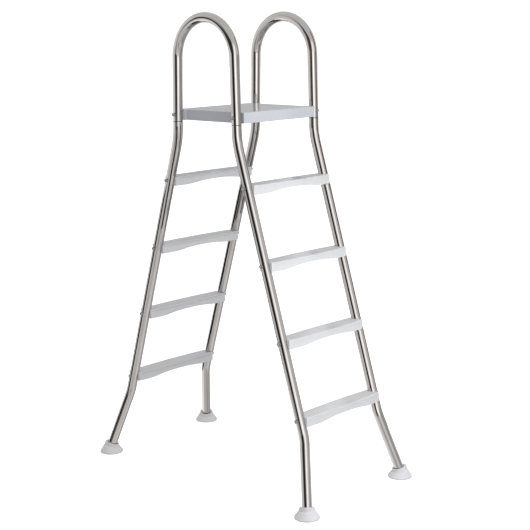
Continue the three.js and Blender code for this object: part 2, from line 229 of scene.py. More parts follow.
def tube_mesh(name, points, rings):
    """A hollow tube, with its UVs running around it and, in metres, along it.

    rings lists (index into points, slide along the tangent, radius): the outside from the first
    end to the last, then the inside back again, so the wall closes on itself.
    """
    frames = frames_along(points, (0, 1, 0))
    travelled = [0]
    for here, after in zip(points, points[1:]):
        travelled.append(travelled[-1] + (after - here).length)
    verts, faces, uvs = [], [], []
    for index, slide, radius in rings:
        tangent, sideways, upright = frames[index]
        centre = points[index] + tangent * slide
        for k in range(TUBE_SIDES):
            a = 2 * math.pi * k / TUBE_SIDES
            verts.append(
                centre + sideways * radius * math.cos(a) + upright * radius * math.sin(a)
            )
    for r, (index, slide, _) in enumerate(rings):
        after = (r + 1) % len(rings)
        low, high = r * TUBE_SIDES, after * TUBE_SIDES
        v0 = travelled[index] + slide
        v1 = travelled[rings[after][0]] + rings[after][1]
        for k in range(TUBE_SIDES):
            n = (k + 1) % TUBE_SIDES
            faces.append((low + k, low + n, high + n, high + k))
            u0, u1 = k / TUBE_SIDES, (k + 1) / TUBE_SIDES
            uvs += [(u0, v0), (u1, v0), (u1, v1), (u0, v1)]
    tube = mesh_object(name, verts, faces, uvs)
    smooth(tube, 35)
    return tube


def mesh_object(name, verts, faces, uvs=None):
    mesh = bpy.data.meshes.new(name)
    mesh.from_pydata([tuple(v) for v in verts], [], faces)
    if uvs:
        layer = mesh.uv_layers.new(name="along")
        for loop, uv in zip(layer.data, uvs):
            loop.uv = uv
    bm = bmesh.new()
    bm.from_mesh(mesh)
    bmesh.ops.remove_doubles(bm, verts=bm.verts, dist=WELD)
    bmesh.ops.recalc_face_normals(bm, faces=bm.faces)
    bm.to_mesh(mesh)
    bm.free()
    obj = bpy.data.objects.new(name, mesh)
    bpy.context.scene.collection.objects.link(obj)
    return obj


def smooth(obj, angle):
    """Smooth shading, with edges sharper than angle, in degrees, kept crisp."""
    bm = bmesh.new()
    bm.from_mesh(obj.data)
    for f in bm.faces:
        f.smooth = True
    for e in bm.edges:
        sharp = len(e.link_faces) == 2 and e.calc_face_angle(0) > math.radians(angle)
        e.smooth = not sharp
    bm.to_mesh(obj.data)
    bm.free()


def soften(obj, angle):
    """As smooth, and broad flat faces keep their own normals beside rounded edges."""
    smooth(obj, angle)
    modifier = obj.modifiers.new("normals", "WEIGHTED_NORMAL")
    modifier.keep_sharp = True
    modifier.weight = 100
    apply_modifiers(obj)


def round_edges(obj, width, steps):
    modifier = obj.modifiers.new("rounded", "BEVEL")
    modifier.width = width
    modifier.segments = steps
    modifier.limit_method = "ANGLE"
    modifier.angle_limit = math.radians(40)
    apply_modifiers(obj)


def finish_piece(obj, nodes, material):
    obj.data.materials.clear()
    obj.data.materials.append(material)
    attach(obj, "root")
    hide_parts(*nodes)


# ---------------------------------------------------------------- node helpers

BUMP_DEPTH = 0.2 * MM


def new_material(name):
    material = bpy.data.materials.new(name)
    material.use_nodes = True
    tree = material.node_tree
    tree.nodes.clear()
    output = tree.nodes.new("ShaderNodeOutputMaterial")
    shader = tree.nodes.new("ShaderNodeBsdfPrincipled")
    tree.links.new(shader.outputs["BSDF"], output.inputs["Surface"])
    return material, tree, shader


def noise(tree, coordinates, scale, detail=2, roughness=0.5):
    node = tree.nodes.new("ShaderNodeTexNoise")
    node.inputs["Scale"].default_value = scale
    node.inputs["Detail"].default_value = detail
    node.inputs["Roughness"].default_value = roughness
    tree.links.new(coordinates, node.inputs["Vector"])
    return node.outputs["Fac"]


def object_coordinates(tree, scale=(1, 1, 1)):
    place = tree.nodes.new("ShaderNodeTexCoord")
    mapping = tree.nodes.new("ShaderNodeMapping")
    mapping.inputs["Scale"].default_value = scale
    tree.links.new(place.outputs["Object"], mapping.inputs["Vector"])
    return mapping.outputs["Vector"]


def ramp(tree, factor, stops):
    node = tree.nodes.new("ShaderNodeValToRGB")
    elements = node.color_ramp.elements
    while len(elements) < len(stops):
        elements.new(0.5)
    for element, (position, color) in zip(elements, stops):
        element.position = position
        element.color = (*color, 1)
    tree.links.new(factor, node.inputs["Fac"])
    return node.outputs["Color"]


def spread(tree, factor, low, high):
    node = tree.nodes.new("ShaderNodeMapRange")
    node.inputs["To Min"].default_value = low
    node.inputs["To Max"].default_value = high
    tree.links.new(factor, node.inputs["Value"])
    return node.outputs["Result"]


def arithmetic(tree, operation, *values):
    """A Math node; each value is a number or a socket."""
    node = tree.nodes.new("ShaderNodeMath")
    node.operation = operation
    for socket, value in zip(node.inputs, values):
        if isinstance(value, (int, float)):
            socket.default_value = value
        else:
            tree.links.new(value, socket)
    return node.outputs[0]


def eased(tree, value, low, high):
    """0 below low, 1 above high, and smooth in between."""
    node = tree.nodes.new("ShaderNodeMapRange")
    node.interpolation_type = "SMOOTHSTEP"
    node.inputs["From Min"].default_value = low
    node.inputs["From Max"].default_value = high
    tree.links.new(value, node.inputs["Value"])
    return node.outputs["Result"]


def bump(tree, shader, height, strength):
    node = tree.nodes.new("ShaderNodeBump")
    node.inputs["Strength"].default_value = strength
    node.inputs["Distance"].default_value = BUMP_DEPTH
    tree.links.new(height, node.inputs["Height"])
    tree.links.new(node.outputs["Normal"], shader.inputs["Normal"])


# ---------------------------------------------------------------- materials

# Colour of the ring at the handrail-to-leg joint: a painted shadow of the gap there, with grime.
SEAM_SHADE_AND_GRIME = (0.16, 0.145, 0.14)
SEAM_DULLNESS = 0.4
WORN_PALER = 1.06


def uv_coordinates(tree, scale):
    """Around a tube (0 to 1) and along it (metres), stretched."""
    place = tree.nodes.new("ShaderNodeUVMap")
    mapping = tree.nodes.new("ShaderNodeMapping")
    mapping.inputs["Scale"].default_value = scale
    tree.links.new(place.outputs["UV"], mapping.inputs["Vector"])
    return mapping.outputs["Vector"]


def blended(tree, factor, first, second, kind="MIX"):
    """Mixes two colours; each is a socket or a colour."""
    node = tree.nodes.new("ShaderNodeMix")
    node.data_type = "RGBA"
    node.blend_type = kind
    for label, value in (("Factor", factor), ("A", first), ("B", second)):
        socket = next(s for s in node.inputs if s.name == label and s.enabled)
        if isinstance(value, bpy.types.NodeSocket):
            tree.links.new(value, socket)
        elif label == "Factor":
            socket.default_value = value
        else:
            socket.default_value = (*value, 1)
    return next(s for s in node.outputs if s.enabled)


def seam_mask(tree):
    """1 within the ring of painted shadow and grime where the handrails meet the legs, 0
    elsewhere.
    """
    place = tree.nodes.new("ShaderNodeTexCoord")
    split = tree.nodes.new("ShaderNodeSeparateXYZ")
    tree.links.new(place.outputs["Object"], split.inputs["Vector"])
    offset = arithmetic(tree, "SUBTRACT", split.outputs["Z"], SEAM)
    distance = arithmetic(tree, "ABSOLUTE", offset)
    outside = eased(tree, distance, SEAM_RING, SEAM_RING + SEAM_RING_FADE)
    return arithmetic(tree, "SUBTRACT", 1.0, outside)


def polished_steel():
    """Mirror-polished stainless: polishing lines round the tube, drawing lines along it, haze,
    and the dull ring at the joint, darkened with a painted shadow of the gap and with grime.
    """
    material, tree, shader = new_material("polished_stainless")
    place = object_coordinates(tree)
    haze = noise(tree, place, 14, detail=4)
    color = ramp(tree, haze, [(0.3, (0.525, 0.5, 0.49)), (0.7, (0.565, 0.545, 0.535))])
    seam = seam_mask(tree)
    # The ring at the joint is painted dark: the gap's shadow and grime, put into the colour.
    color = blended(tree, seam, color, SEAM_SHADE_AND_GRIME)
    tree.links.new(color, shader.inputs["Base Color"])
    around_lines = noise(tree, uv_coordinates(tree, (6, 2600, 1)), 1, detail=3)
    along_lines = noise(tree, uv_coordinates(tree, (180, 5, 1)), 1, detail=3)
    lines = arithmetic(tree, "MULTIPLY", around_lines, along_lines)
    marks = spread(tree, noise(tree, place, 55, detail=5, roughness=0.7), 0.0, 0.03)
    rough = arithmetic(tree, "ADD", spread(tree, haze, 0.01, 0.045), marks)
    rough = arithmetic(tree, "MULTIPLY_ADD", seam, SEAM_DULLNESS, rough)
    tree.links.new(rough, shader.inputs["Roughness"])
    shader.inputs["Metallic"].default_value = 1
    bump(tree, shader, lines, 0.03)
    return material


def fastener_steel():
    """Machined stainless with a fine turned grain, paler on its worn edges."""
    material, tree, shader = new_material("fastener_stainless")
    grain = noise(tree, object_coordinates(tree, (1, 1, 3)), 700, detail=3)
    wear = tree.nodes.new("ShaderNodeNewGeometry").outputs["Pointiness"]
    color = ramp(tree, grain, [(0.3, (0.32, 0.315, 0.31)), (0.7, (0.44, 0.435, 0.43))])
    worn = eased(tree, wear, 0.5, 0.62)
    color = blended(tree, worn, color, (0.6, 0.59, 0.58))
    tree.links.new(color, shader.inputs["Base Color"])
    tree.links.new(spread(tree, grain, 0.16, 0.3), shader.inputs["Roughness"])
    shader.inputs["Metallic"].default_value = 1
    bump(tree, shader, grain, 0.05)
    return material


def moulded_plastic(name, pale, deep, roughness, texture, shine=0.5):
    """Injection-moulded plastic: slight colour drift and flow marks, a fine moulded texture,
    paler worn edges, and scuffs that dull the gloss.
    """
    material, tree, shader = new_material(name)
    place = object_coordinates(tree)
    drift = noise(tree, place, 9, detail=2)
    color = ramp(tree, drift, [(0.3, deep), (0.7, pale)])
    flow = noise(tree, object_coordinates(tree, (30, 4, 30)), 1, detail=4)
    shade = spread(tree, flow, 0.975, 1.015)
    color = blended(tree, 1.0, color, shade, "MULTIPLY")
    wear = tree.nodes.new("ShaderNodeNewGeometry").outputs["Pointiness"]
    worn = tuple(min(c * WORN_PALER, 1) for c in pale)
    color = blended(tree, eased(tree, wear, 0.52, 0.6), color, worn)
    tree.links.new(color, shader.inputs["Base Color"])
    grain = noise(tree, place, 900, detail=3, roughness=0.6)
    scuffs = noise(tree, object_coordinates(tree, (420, 26, 60)), 1, detail=3)
    scuffed = eased(tree, scuffs, 0.6, 0.72)
    rough = spread(tree, grain, roughness - 0.06, roughness + 0.08)
    rough = arithmetic(tree, "MULTIPLY_ADD", scuffed, 0.08, rough)
    tree.links.new(rough, shader.inputs["Roughness"])
    shader.inputs["IOR"].default_value = 1.49
    shader.inputs["Specular IOR Level"].default_value = shine
    bump(tree, shader, grain, texture)
    return material


STEEL = polished_steel()
FASTENER = fastener_steel()
TREAD = moulded_plastic(
    "tread_moulding",
    pale=(0.82, 0.832, 0.86),
    deep=(0.78, 0.792, 0.82),
    roughness=0.38,
    texture=0.25,
)
PLATFORM = moulded_plastic(
    "platform_moulding",
    pale=(0.7, 0.735, 0.79),
    deep=(0.67, 0.705, 0.76),
    roughness=0.14,
    texture=0.04,
    shine=0.3,
)
RUBBER = moulded_plastic(
    "foot_moulding",
    pale=(0.94, 0.945, 0.985),
    deep=(0.87, 0.875, 0.92),
    roughness=0.42,
    texture=0.35,
)


# ---------------------------------------------------------------- handrails and legs


def handrail(name, side):
    y = side * TRACK_HALF
    end = SEAM + SEAM_GAP / 2
    points = bent_line(
        [
            ((-rail_x(end), y, end), 0, 0),
            ((-RAIL_CORNER, y, RAIL_TOP), RAIL_BEND, RAIL_BEND_STEPS),
            ((RAIL_CORNER, y, RAIL_TOP), RAIL_BEND, RAIL_BEND_STEPS),
            ((rail_x(end), y, end), 0, 0),
        ]
    )
    last = len(points) - 1
    inner = TUBE_RADIUS - TUBE_WALL
    rings = [(0, 0, TUBE_RADIUS - SEAM_CHAMFER), (0, SEAM_CHAMFER, TUBE_RADIUS)]
    rings += [(i, 0, TUBE_RADIUS) for i in range(1, last)]
    rings += [(last, -SEAM_CHAMFER, TUBE_RADIUS), (last, 0, TUBE_RADIUS - SEAM_CHAMFER)]
    rings += [(i, 0, inner) for i in range(last, -1, -1)]
    return tube_mesh(name, points, rings)


def leg(name, flight, side):
    y = side * TRACK_HALF
    top = SEAM + SPIGOT_LENGTH
    shoulder = SEAM - SEAM_GAP / 2
    points = bent_line(
        [
            ((flight * rail_x(top), y, top), 0, 0),
            ((flight * rail_x(shoulder), y, shoulder), 0, 0),
            ((flight * rail_x(KNEE), y, KNEE), KNEE_BEND, LEG_BEND_STEPS),
            ((flight * leg_x(ANKLE), y, ANKLE), ANKLE_BEND, LEG_BEND_STEPS),
            ((flight * shin_x(LEG_END), side * shin_y(LEG_END), LEG_END), 0, 0),
        ]
    )
    last = len(points) - 1
    inner = TUBE_RADIUS - TUBE_WALL
    spigot = TUBE_RADIUS - SPIGOT_STEP
    rings = [(0, 0, spigot), (1, -SEAM_GAP / 2, spigot)]
    rings += [(1, 0, TUBE_RADIUS - SEAM_CHAMFER), (1, SEAM_CHAMFER, TUBE_RADIUS)]
    rings += [(i, 0, TUBE_RADIUS) for i in range(2, last + 1)]
    rings += [(i, 0, inner) for i in range(last, 0, -1)]
    rings += [(0, 0, spigot - TUBE_WALL)]
    return tube_mesh(name, points, rings)


# ---------------------------------------------------------------- treads


def boolean(target, cutter, operation="DIFFERENCE"):
    """Applies a boolean with another object, then removes that object."""
    modifier = target.modifiers.new("cut", "BOOLEAN")
    modifier.operation = operation
    modifier.solver = "EXACT"
    modifier.object = cutter
    apply_modifiers(target)
    bpy.data.objects.remove(cutter)


def apply_modifiers(obj):
    bpy.context.view_layer.update()
    graph = bpy.context.evaluated_depsgraph_get()
    mesh = bpy.data.meshes.new_from_object(obj.evaluated_get(graph))
    old = obj.data
    obj.modifiers.clear()
    obj.data = mesh
    bpy.data.meshes.remove(old)


def cylinder(start, direction, length, radius, sides):
    direction = Vector(direction).normalized()
    points = [Vector(start), Vector(start) + direction * length]
    side = Vector((1, 0, 0)) if abs(direction.x) < 0.9 else Vector((0, 1, 0))
    verts, faces = [], []
    _, sideways, upright = frames_along(points, side)[0]
    for p in points:
        for k in range(sides):
            a = 2 * math.pi * k / sides
            verts.append(p + sideways * radius * math.cos(a) + upright * radius * math.sin(a))
    for k in range(sides):
        n = (k + 1) % sides
        faces.append((k, n, sides + n, sides + k))
    faces.append(tuple(reversed(range(sides))))
    faces.append(tuple(range(sides, 2 * sides)))
    return mesh_object("cutter", verts, faces)


def block(low, high):
    ends = list(zip(low, high))
    corners = [(x, y, z) for x in ends[0] for y in ends[1] for z in ends[2]]
    faces = [(0, 1, 3, 2), (4, 6, 7, 5), (0, 4, 5, 1), (2, 3, 7, 6), (0, 2, 6, 4), (1, 5, 7, 3)]
    return mesh_object("cutter", corners, faces)


def arch_height(y):
    """How far the skirt's lower edge rises at a distance from the tread's middle.

    The edge is a cubic curve; its parameter is found by halving.
    """
    if abs(y) >= ARCH_HALF:
        return 0
    outer, inner = ARCH_SHOULDERS
    low, high = 0, 1
    for _ in range(30):
        t = (low + high) / 2
        reach = (1 - t) ** 3 + 3 * outer * (1 - t) ** 2 * t + 3 * inner * (1 - t) * t**2
        if reach * ARCH_HALF > abs(y):
            low = t
        else:
            high = t
    return ARCH_RISE * (3 * (1 - t) * t**2 + t**3)


def bow(y):
    """How far a tread's long edges stand out at a distance from its middle."""
    t = min(abs(y) / TREAD_HALF_WIDTH, 1)
    return TREAD_BULGE * (1 - t * t)


def tread_section(y, inset, edge, drop):
    """One cross-section of a tread in X and Z, from the outer skirt's foot over the top.

    inset is how far it lies inside the tread's surface, edge is the rounding of its upper
    corners, and drop is the height of its foot, or None for the arched skirt. Only a rounded
    section has the groove along the inner skirt.
    """
    front = TREAD_OUTER + bow(y) - inset
    back = -TREAD_INNER - bow(y) + inset
    foot = -TREAD_DEPTH + arch_height(y) if drop is None else drop
    top = -inset
    points = [(front, foot)]
    steps = TREAD_EDGE_STEPS if edge else 0
    for k in range(steps + 1):
        a = math.pi / 2 * k / max(steps, 1)
        points.append((front - edge + edge * math.cos(a), top - edge + edge * math.sin(a)))
    for k in range(steps + 1):
        a = math.pi / 2 * (1 + k / max(steps, 1))
        points.append((back + edge + edge * math.cos(a), top - edge + edge * math.sin(a)))
    if edge:
        bottom = back + GROOVE_DEPTH
        points += [(back, -GROOVE_TOP), (bottom, -GROOVE_TOP)]
        points += [(bottom, -GROOVE_FOOT), (back, -GROOVE_FOOT)]
    points.append((back, foot))
    return points


def lofted(name, stations, section):
    """Closed body through one cross-section for each station along Y."""
    verts, faces = [], []
    for y in stations:
        verts += [(x, y, z) for x, z in section(y)]
    count = len(section(stations[0]))
    for s in range(len(stations) - 1):
        low, high = s * count, (s + 1) * count
        for k in range(count):
            n = (k + 1) % count
            faces.append((low + k, low + n, high + n, high + k))
    faces.append(tuple(range(count)))
    last = (len(stations) - 1) * count
    faces.append(tuple(reversed(range(last, last + count))))
    return mesh_object(name, verts, faces)


def spaced(low, high, count):
    return [low + (high - low) * i / count for i in range(count + 1)]


def cross_hole(body, x, y, z):
    """A bolt hole through a body, along Y."""
    start = (x, y - 2 * TUBE_RADIUS, z)
    boolean(body, cylinder(start, (0, 1, 0), 4 * TUBE_RADIUS, BOLT_HOLE, HOLE_SIDES))


def tread(name):
    body = lofted(
        name,
        spaced(-TREAD_HALF_WIDTH, TREAD_HALF_WIDTH, TREAD_STATIONS),
        lambda y: tread_section(y, 0, TREAD_EDGE, None),
    )
    bay = (2 * CAVITY_HALF + RIB) / TREAD_BAYS
    for i in range(TREAD_BAYS):
        low = -CAVITY_HALF + i * bay
        hollow = lofted(
            "cutter",
            spaced(low, low + bay - RIB, BAY_STATIONS),
            lambda y: tread_section(y, TREAD_WALL, 0, -2 * TREAD_DEPTH),
        )
        boolean(body, hollow)
    along_leg = Vector((-LEG_SPLAY, 0, 1))
    for _, side in SIDES:
        start = Vector((0, side * TRACK_HALF, 0)) - along_leg * 2 * TREAD_DEPTH
        bore = cylinder(start, along_leg, 5 * TREAD_DEPTH, TUBE_RADIUS + CLEARANCE, SOCKET_SIDES)
        boolean(body, bore)
        cross_hole(body, LEG_SPLAY * TREAD_BOLT_DROP, side * TRACK_HALF, -TREAD_BOLT_DROP)
    soften(body, 30)
    return body


# ---------------------------------------------------------------- platform


def platform_outline():
    """The platform's plan with its four corner lugs, anticlockwise."""
    x, y, lug = PLATFORM_HALF_DEPTH, PLATFORM_HALF_WIDTH, PLATFORM_HALF_WIDTH + LUG_PROUD
    right = [(x, y), (LUG_END, y), (LUG_END, lug), (LUG_START, lug), (LUG_START, y)]
    right += [(-px, py) for px, py in reversed(right)]
    return right + [(-px, -py) for px, py in right]


def platform(name):
    outline = platform_outline()
    count = len(outline)
    verts = [(x, y, z) for z in (PLATFORM_BOTTOM, PLATFORM_TOP) for x, y in outline]
    faces = [tuple(range(count)), tuple(range(count, 2 * count))]
    for k in range(count):
        n = (k + 1) % count
        faces.append((k, n, count + n, count + k))
    body = mesh_object(name, verts, faces)
    round_edges(body, PLATFORM_EDGE, PLATFORM_EDGE_STEPS)
    depth = PLATFORM_HALF_DEPTH - PLATFORM_WALL
    bay_x = (2 * depth + RIB) / PLATFORM_BAYS
    bay_y = (2 * CAVITY_HALF + RIB) / PLATFORM_BAYS
    for i in range(PLATFORM_BAYS):
        for j in range(PLATFORM_BAYS):
            x = -depth + i * bay_x
            y = -CAVITY_HALF + j * bay_y
            low = (x, y, PLATFORM_BOTTOM - PLATFORM_WALL)
            high = (x + bay_x - RIB, y + bay_y - RIB, PLATFORM_TOP - PLATFORM_WALL)
            boolean(body, block(low, high))
    for _, flight in FLIGHTS:
        for _, side in SIDES:
            y = side * TRACK_HALF
            low = PLATFORM_BOTTOM - TUBE_RADIUS
            start = (flight * rail_x(low), y, low)
            along_rail = (-flight * RAIL_TAPER, 0, 1)
            length = PLATFORM_TOP - low + TUBE_RADIUS
            bore = cylinder(start, along_rail, length, TUBE_RADIUS + CLEARANCE, SOCKET_SIDES)
            boolean(body, bore)
            height = PLATFORM_TOP - PLATFORM_BOLT_DROP
            cross_hole(body, flight * rail_x(height), y, height)
    soften(body, 35)
    return body


# ---------------------------------------------------------------- feet


def turned(name, corners, sides):
    """A body of revolution about Z. Corners are (radius, height, rounding), from axis to axis."""
    steps = 5
    profile = bent_line([((r, 0, z), rounding, steps) for r, z, rounding in corners])
    verts, faces = [], []
    for p in profile:
        for k in range(sides):
            a = 2 * math.pi * k / sides
            verts.append((p.x * math.cos(a), p.x * math.sin(a), p.z))
    for r in range(len(profile) - 1):
        low, high = r * sides, (r + 1) * sides
        for k in range(sides):
            n = (k + 1) % sides
            faces.append((low + k, low + n, high + n, high + k))
    body = mesh_object(name, verts, faces)
    bm = bmesh.new()
    bm.from_mesh(body.data)
    bmesh.ops.dissolve_degenerate(bm, edges=bm.edges, dist=1e-7)
    bmesh.ops.recalc_face_normals(bm, faces=bm.faces)
    bm.to_mesh(body.data)
    bm.free()
    return body


def foot(name, flight, side):
    """A bell with a level rim, its collar tilted to face along the leg."""
    body = turned(
        name,
        [
            (0, 0, 0),
            (FOOT_RADIUS, 0, RIM_ROUNDING),
            (FOOT_RADIUS, FOOT_RIM, RIM_ROUNDING),
            (WAIST_RADIUS + LEDGE, WAIST_HEIGHT - LEDGE, LEDGE_ROUNDING),
            (WAIST_RADIUS - LEDGE, WAIST_HEIGHT, LEDGE_FILLET),
            (COLLAR_RADIUS, COLLAR_HEIGHT, COLLAR_ROUNDING),
            (0, COLLAR_HEIGHT, 0),
        ],
        FOOT_SIDES,
    )
    to_ladder = Vector((-flight * SHIN_SPLAY, -side * SHIN_FLARE, 0)).normalized()
    for vertex in body.data.vertices:
        share = max((vertex.co.z - FOOT_RIM) / (COLLAR_HEIGHT - FOOT_RIM), 0)
        vertex.co.z -= share * COLLAR_SLOPE * vertex.co.dot(to_ladder)
        vertex.co += to_ladder * share * COLLAR_SHIFT
    along_leg = Vector((-flight * SHIN_SPLAY, -side * SHIN_FLARE, 1))
    crossing = Vector((0, 0, FOOT_AXIS_CROSSING))
    socket = (LEG_END - CLEARANCE, TUBE_RADIUS + CLEARANCE)
    recess = (COLLAR_HEIGHT - RECESS_DEPTH, RECESS_RADIUS)
    for height, radius in (socket, recess):
        start = crossing + along_leg * (height - FOOT_AXIS_CROSSING)
        boolean(body, cylinder(start, along_leg, 2 * COLLAR_HEIGHT, radius, SOCKET_SIDES))
    soften(body, 40)
    low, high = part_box(name.removesuffix("_bell"))
    middle = (low + high) / 2
    body.location = (middle.x, middle.y, 0)
    return body


# ---------------------------------------------------------------- fasteners


def hexagon(name, height):
    """A hexagonal prism standing on Z = 0, its corners chamfered at the foot."""
    body = cylinder((0, 0, 0), (0, 0, 1), height, HEX_RADIUS, 6)
    body.name = name
    flat = HEX_RADIUS * math.cos(math.pi / 6)
    outside = HEX_RADIUS + MM
    corners = [(0, 0, 0), (flat, 0, 0), (outside, HEX_CHAMFER, 0)]
    corners += [(outside, height, 0), (0, height, 0)]
    boolean(body, turned("cutter", corners, HEX_CHAMFER_SIDES), "INTERSECT")
    return body


def bolt():
    """Along +Z here, with the origin at the middle of the ladder."""
    body = hexagon("bolt_master", HEAD_HEIGHT)
    for vertex in body.data.vertices:
        vertex.co.z += HEAD_SEAT - HEAD_HEIGHT
    start = HEAD_SEAT - MM
    tip = NUT_SEAT + NUT_BORE_DEPTH - MM
    shank = turned(
        "cutter",
        [
            (0, start, 0),
            (BOLT_RADIUS, start, 0),
            (BOLT_RADIUS, tip, BOLT_TIP_ROUNDING),
            (0, tip, 0),
        ],
        HOLE_SIDES,
    )
    boolean(body, shank, "UNION")
    soften(body, 25)
    return body


def cap_nut():
    """A hexagon under a dome, along +Z here, with the origin at the middle of the ladder."""
    body = hexagon("cap_nut_master", NUT_HEX)
    dome = turned(
        "cutter",
        [
            (0, NUT_HEX - MM, 0),
            (NUT_DOME_RADIUS, NUT_HEX - MM, 0),
            (NUT_DOME_RADIUS, NUT_HEIGHT, NUT_DOME_ROUNDING),
            (0, NUT_HEIGHT, 0),
        ],
        NUT_DOME_SIDES,
    )
    boolean(body, dome, "UNION")
    radius = BOLT_RADIUS + CLEARANCE
    bore = cylinder((0, 0, -MM), (0, 0, 1), NUT_BORE_DEPTH + MM, radius, HOLE_SIDES)
    boolean(body, bore)
    for vertex in body.data.vertices:
        vertex.co.z += NUT_SEAT
    soften(body, 25)
    return body


# ---------------------------------------------------------------- assembly


def copied(master, name, place):
    piece = bpy.data.objects.new(name, master.data.copy())
    bpy.context.scene.collection.objects.link(piece)
    piece.matrix_world = place
    return piece


def add_fasteners(row, x, height):
    """The bolts and cap nuts at both ends of a tread or of the platform's edge."""
    for side_name, side in SIDES:
        outward = Matrix.Rotation(-side * math.pi / 2, 4, "X")
        place = Matrix.Translation((x, 0, height)) @ outward
        for kind, master in (("bolt", bolt_master), ("cap_nut", cap_nut_master)):
            node = f"{kind}_{row}_{side_name}"
            piece = copied(master, f"{node}_turned", place)
            finish_piece(piece, [node], FASTENER)


tread_master = tread("tread_master")
bolt_master = bolt()
cap_nut_master = cap_nut()

for side_name, side in SIDES:
    node = f"handrail_{side_name}"
    finish_piece(handrail(f"{node}_tube", side), [node], STEEL)

finish_piece(platform("platform_moulding"), ["platform"], PLATFORM)

for flight_name, flight in FLIGHTS:
    turn = Matrix.Rotation(0 if flight > 0 else math.pi, 4, "Z")
    for i in range(1, TREAD_COUNT + 1):
        node = f"tread_{flight_name}_{i}"
        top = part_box(node)[1].z
        place = Matrix.Translation((flight * leg_x(top), 0, top)) @ turn
        piece = copied(tread_master, f"{node}_moulding", place)
        finish_piece(piece, [node], TREAD)
        height = top - TREAD_BOLT_DROP
        add_fasteners(node, flight * leg_x(height), height)
    height = PLATFORM_TOP - PLATFORM_BOLT_DROP
    add_fasteners(f"platform_{flight_name}", flight * rail_x(height), height)
    for side_name, side in SIDES:
        node = f"leg_{flight_name}_{side_name}"
        finish_piece(leg(f"{node}_tube", flight, side), [node], STEEL)
        node = f"foot_{flight_name}_{side_name}"
        finish_piece(foot(f"{node}_bell", flight, side), [node], RUBBER)

for master in (tread_master, bolt_master, cap_nut_master):
    bpy.data.objects.remove(master)

# ---------------------------------------------------------------- camera, floor and key light

CAMERA_PLACE = (3.3888, -3.5522, 1.8021)
CAMERA_AZIMUTH = 42.89
CAMERA_DOWN = 11.20
CAMERA_ROLL = 0.63
CAMERA_LENS = 85.3


def camera():
    data = bpy.data.cameras.new("camera")
    data.sensor_width = 36
    data.lens = CAMERA_LENS
    data.clip_end = 50
    obj = bpy.data.objects.new("camera", data)
    bpy.context.scene.collection.objects.link(obj)
    turn = (
        Matrix.Rotation(math.radians(CAMERA_AZIMUTH), 4, "Z")
        @ Matrix.Rotation(math.radians(90 - CAMERA_DOWN), 4, "X")
        @ Matrix.Rotation(math.radians(-CAMERA_ROLL), 4, "Z")
    )
    obj.matrix_world = Matrix.Translation(CAMERA_PLACE) @ turn
    bpy.context.scene.camera = obj


def floor():
    """A pale floor for the camera and for shadows, which casts no light on the ladder."""
    material, _, shader = new_material("studio_floor")
    shader.inputs["Base Color"].default_value = (0.9, 0.9, 0.9, 1)
    shader.inputs["Roughness"].default_value = 0.9
    shader.inputs["Emission Color"].default_value = (1, 1, 1, 1)
    shader.inputs["Emission Strength"].default_value = 0.8
    reach = 30
    verts = [(-reach, -reach, 0), (reach, -reach, 0), (reach, reach, 0), (-reach, reach, 0)]
    obj = mesh_object("studio_floor", verts, [(0, 1, 2, 3)])
    obj.data.materials.append(material)
    obj.visible_glossy = False
    obj.visible_diffuse = False


def area_light(name, place, target, size, power):
    """A soft light that shows neither to the camera nor in reflections."""
    data = bpy.data.lights.new(name, "AREA")
    data.shape = "RECTANGLE"
    data.size, data.size_y = size
    data.energy = power
    obj = bpy.data.objects.new(name, data)
    bpy.context.scene.collection.objects.link(obj)
    turn = (Vector(target) - Vector(place)).to_track_quat("-Z", "Y")
    obj.matrix_world = Matrix.Translation(place) @ turn.to_matrix().to_4x4()
    obj.visible_glossy = False
    obj.visible_camera = False


# ---------------------------------------------------------------- surroundings

# What shiny surfaces see, as (compass degrees, brightness): 0 is +X and -90 is -Y.
# Above the ladder,
UPPER = [
    (-180, 1.1), (-150, 0.9), (-135, 0.7), (-120, 0.45), (-108, 0.12), (-95, 0.03), (-69, 0.05),
    (-60, 0.3), (-50, 0.85), (-40, 1.35), (-29, 1.75), (-18, 1.65), (-6, 1.15), (6, 0.82),
    (30, 0.74), (70, 0.8), (100, 0.4), (155, 0.35), (180, 1.1),
]
# level with the ladder,
WALLS = [
    (-180, 1.1), (-150, 1.05), (-125, 0.8), (-110, 0.48), (-98, 0.02), (-71, 0.02), (-62, 0.25),
    (-52, 1.0), (-42, 1.8), (-26, 2.0), (-14, 1.25), (-4, 0.82), (8, 0.6), (22, 0.47), (36, 0.42),
    (52, 0.62), (70, 0.9), (85, 1.0), (110, 0.6), (150, 0.55), (180, 1.05),
]
# lower on the walls,
DADO = [
    (-180, 0.95), (-162, 0.85), (-142, 0.95), (-126, 0.88), (-114, 0.6), (-102, 0.35), (-92, 0.45),
    (-76, 0.7), (-50, 1.0), (-25, 1.1), (-8, 0.85), (10, 0.65), (25, 0.45), (50, 0.45), (75, 0.8),
    (110, 0.6), (150, 0.7), (180, 0.95),
]
# at their foot,
SKIRTING = [
    (-180, 1.25), (-160, 1.1), (-142, 0.8), (-106, 0.75), (-40, 0.85), (0, 0.85), (25, 0.5),
    (50, 0.45), (75, 0.7), (150, 0.8), (165, 1.15), (180, 1.25),
]
# along the far edge of the floor,
FLOOR_EDGE = [
    (-180, 1.3), (-150, 1.25), (-130, 0.95), (-110, 0.8), (-82, 0.82), (-66, 0.5), (-50, 0.45),
    (-38, 0.72), (-20, 0.82), (10, 0.75), (30, 0.45), (60, 0.4), (80, 0.55), (105, 0.7),
    (150, 0.7), (165, 1.15), (180, 1.3),
]
# halfway across it,
FLOOR_FAR = [
    (-180, 1.3), (-148, 1.4), (-128, 1.15), (-100, 0.85), (-60, 0.74), (-33, 0.78), (-12, 0.98),
    (12, 1.0), (28, 0.85), (42, 0.68), (60, 0.5), (80, 0.5), (105, 0.65), (145, 0.5),
    (165, 1.0), (180, 1.3),
]
